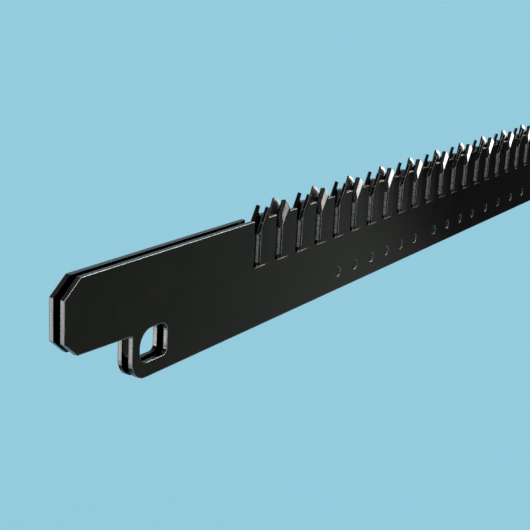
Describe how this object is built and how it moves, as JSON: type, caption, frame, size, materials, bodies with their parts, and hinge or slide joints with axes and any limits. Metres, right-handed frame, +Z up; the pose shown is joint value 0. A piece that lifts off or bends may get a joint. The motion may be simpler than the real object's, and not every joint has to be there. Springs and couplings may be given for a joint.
{
  "type": "twin toothed blade bar",
  "caption": "Two toothed steel blades that slide in opposite directions on a flat guide bar, with hooked drive tongues and drive slots at one end.",
  "frame": {"origin": "middle of the bar's length at its lower edge, in the plane midway between the two blades", "axes": "+X along the bar from the drive tongues to the mounting end, +Z up towards the teeth, +Y from the front blade to the back blade"},
  "size_m": [0.58, 0.0096, 0.0554],
  "materials": {
    "blade_steel": "black oxide, satin",
    "guide_steel": "dark ground steel",
    "rivet_steel": "plain steel, flush",
    "stud_steel": "black oxide, turned"
  },
  "bodies": {
    "guide": {"guide_core": "guide_steel", "front_cheek": "guide_steel", "back_cheek": "guide_steel", "guide_rivets": "rivet_steel"},
    "front": {"front_blade": "blade_steel", "front_stud_1": "stud_steel", "front_stud_2": "stud_steel", "front_stud_3": "stud_steel", "front_stud_4": "stud_steel", "front_stud_5": "stud_steel", "front_stud_6": "stud_steel", "front_stud_7": "stud_steel", "front_stud_8": "stud_steel", "front_stud_9": "stud_steel", "front_stud_10": "stud_steel", "front_stud_11": "stud_steel", "front_stud_12": "stud_steel", "front_stud_13": "stud_steel", "front_stud_14": "stud_steel", "front_stud_15": "stud_steel", "front_stud_16": "stud_steel"},
    "back": {"back_blade": "blade_steel", "back_stud_1": "stud_steel", "back_stud_2": "stud_steel", "back_stud_3": "stud_steel", "back_stud_4": "stud_steel", "back_stud_5": "stud_steel", "back_stud_6": "stud_steel", "back_stud_7": "stud_steel", "back_stud_8": "stud_steel", "back_stud_9": "stud_steel", "back_stud_10": "stud_steel", "back_stud_11": "stud_steel", "back_stud_12": "stud_steel", "back_stud_13": "stud_steel", "back_stud_14": "stud_steel", "back_stud_15": "stud_steel", "back_stud_16": "stud_steel"}
  },
  "joints": [
    {"name": "front_slide", "type": "slide", "parent": "guide", "child": "front", "axis": [1, 0, 0], "range_m": [-0.02, 0.02]},
    {"name": "back_slide", "type": "slide", "parent": "guide", "child": "back", "axis": [1, 0, 0], "range_m": [-0.02, 0.02]}
  ],
  "couplings": [
    {"joint": "back_slide", "follows": "front_slide", "ratio": -1}
  ]
}
